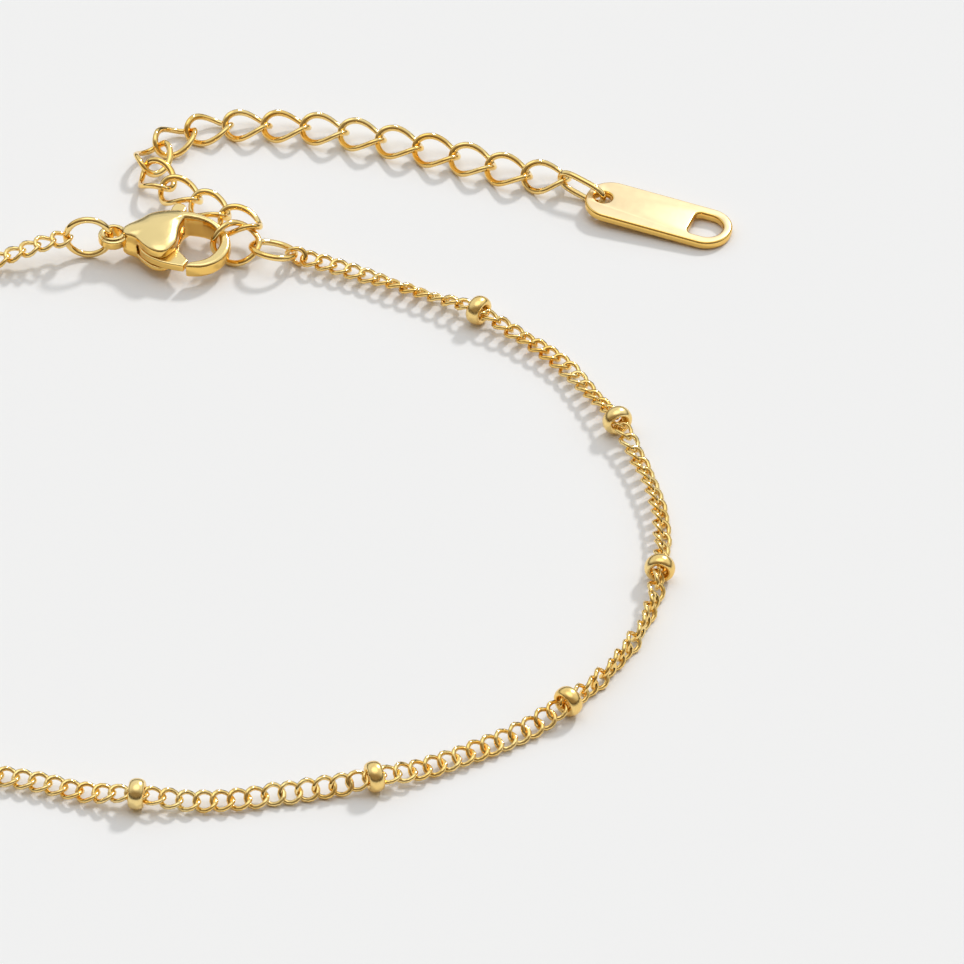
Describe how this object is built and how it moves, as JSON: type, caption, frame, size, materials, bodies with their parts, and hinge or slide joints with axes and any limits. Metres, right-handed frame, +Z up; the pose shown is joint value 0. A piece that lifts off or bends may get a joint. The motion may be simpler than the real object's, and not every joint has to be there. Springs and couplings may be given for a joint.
{
  "type": "bead chain anklet",
  "caption": "Fine gold curb chain anklet with small round beads, a trigger clasp, a curb link extender and a flat plain tag with a window.",
  "frame": {"origin": "bottom centre of the anklet's box as it lies on the ground", "axes": "+Z up; the anklet lies flat in XY, its clasp towards -X and its tag towards +X at the +Y side"},
  "size_m": [0.088, 0.0832, 0.0041],
  "materials": {
    "gold": "polished gold plate",
    "bead_gold": "polished gold plate",
    "clasp_gold": "cast and polished gold plate",
    "tag_gold": "satin gold plate with polished edges"
  },
  "bodies": {
    "anklet": {"chain": "gold", "bead_01": "bead_gold", "bead_02": "bead_gold", "bead_03": "bead_gold", "bead_04": "bead_gold", "bead_05": "bead_gold", "bead_06": "bead_gold", "bead_07": "bead_gold", "bead_08": "bead_gold", "bead_09": "bead_gold", "bead_10": "bead_gold", "bead_11": "bead_gold", "chain_end_link_a": "gold", "chain_end_link_b": "gold", "ring_a": "gold", "ring_b": "gold", "extender_link_01": "gold", "extender_link_02": "gold", "extender_link_03": "gold", "extender_link_04": "gold", "extender_link_05": "gold", "extender_link_06": "gold", "extender_link_07": "gold", "extender_link_08": "gold", "extender_link_09": "gold", "extender_link_10": "gold", "extender_link_11": "gold", "extender_link_12": "gold", "extender_link_13": "gold", "extender_link_14": "gold", "extender_link_15": "gold", "extender_link_16": "gold", "extender_link_17": "gold", "connector": "gold", "tag": "tag_gold", "clasp_body": "clasp_gold", "clasp_pin": "clasp_gold"},
    "lever": {"clasp_lever": "clasp_gold"}
  },
  "joints": [
    {"name": "lever_pivot", "type": "hinge", "parent": "anklet", "child": "lever", "pos_m": [-0.00319, 0.02319, 0.00168], "axis": [0, 0, 1], "range_deg": [0, 15], "stiffness_Nm_per_rad": 0.0005, "springref_deg": -11.46}
  ]
}
